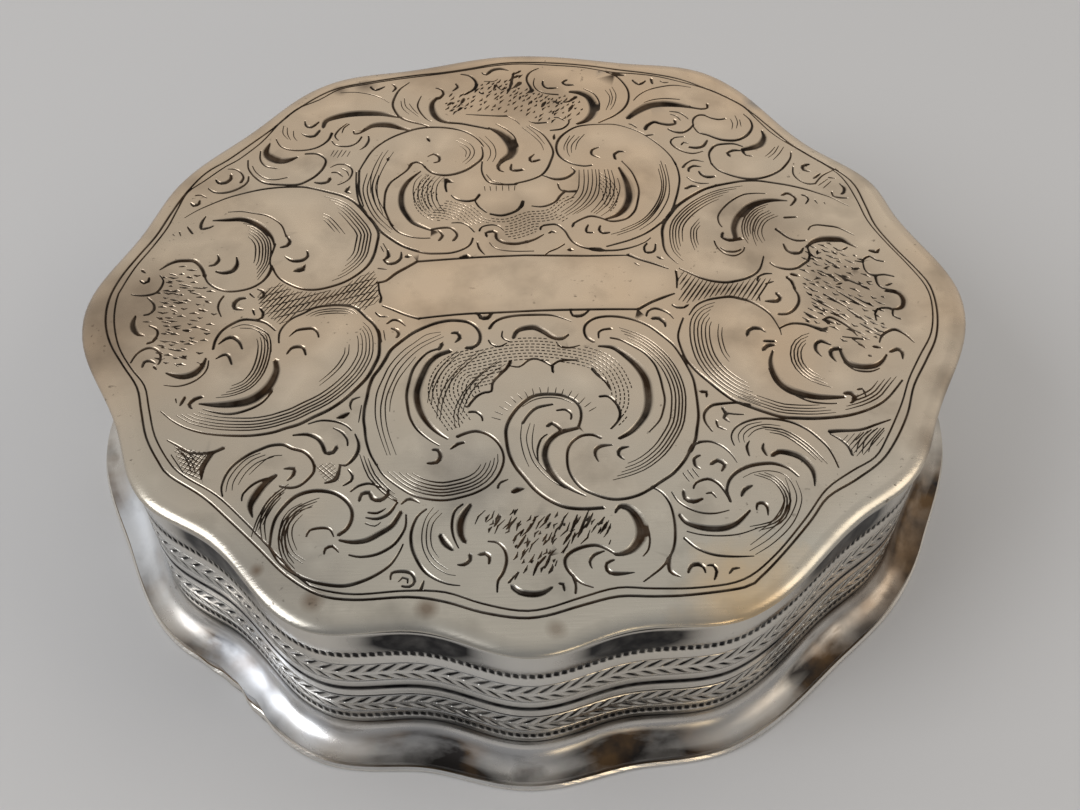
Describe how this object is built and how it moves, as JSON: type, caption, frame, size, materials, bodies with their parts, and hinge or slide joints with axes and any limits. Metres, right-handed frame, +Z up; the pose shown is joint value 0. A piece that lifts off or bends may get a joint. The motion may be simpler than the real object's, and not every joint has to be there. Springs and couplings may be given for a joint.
{
  "type": "mint box",
  "caption": "Small lobed oval silver peppermint box with a scroll-engraved hinged lid, wheat-ear side bands and a hollowed foot moulding.",
  "frame": {"origin": "under the middle of the box, on the plane that its base stands on", "axes": "+Z up out of the lid, +X along the length of the oval, -Y to the front, the hinge at +Y"},
  "size_m": [0.0618, 0.0572, 0.014],
  "materials": {
    "lid_silver": "worn engraved silver with a warm tone and dark tarnish in the cuts",
    "band_silver": "worn silver with punched and cut bands, tarnished in the cuts",
    "cove_silver": "silver with brown tarnish",
    "base_silver": "worn silver with a bright edge",
    "inner_silver": "plain polished silver, lightly scratched",
    "hinge_silver": "plain silver tube with tarnish in the joints"
  },
  "bodies": {
    "body": {"body_wall": "band_silver", "bezel": "inner_silver", "base_moulding": "cove_silver", "base_plate": "base_silver", "body_hinge_bearer": "hinge_silver", "body_knuckle_left": "hinge_silver", "body_knuckle_middle": "hinge_silver", "body_knuckle_right": "hinge_silver", "hinge_pin": "hinge_silver"},
    "lid": {"lid_plate": "lid_silver", "lid_wall": "band_silver", "lid_hinge_bearer": "hinge_silver", "lid_knuckle_left": "hinge_silver", "lid_knuckle_right": "hinge_silver"}
  },
  "joints": [
    {"name": "lid_hinge", "type": "hinge", "parent": "body", "child": "lid", "pos_m": [0, 0.027, 0.0069], "axis": [-1, 0, 0], "range_deg": [0, 100]}
  ]
}
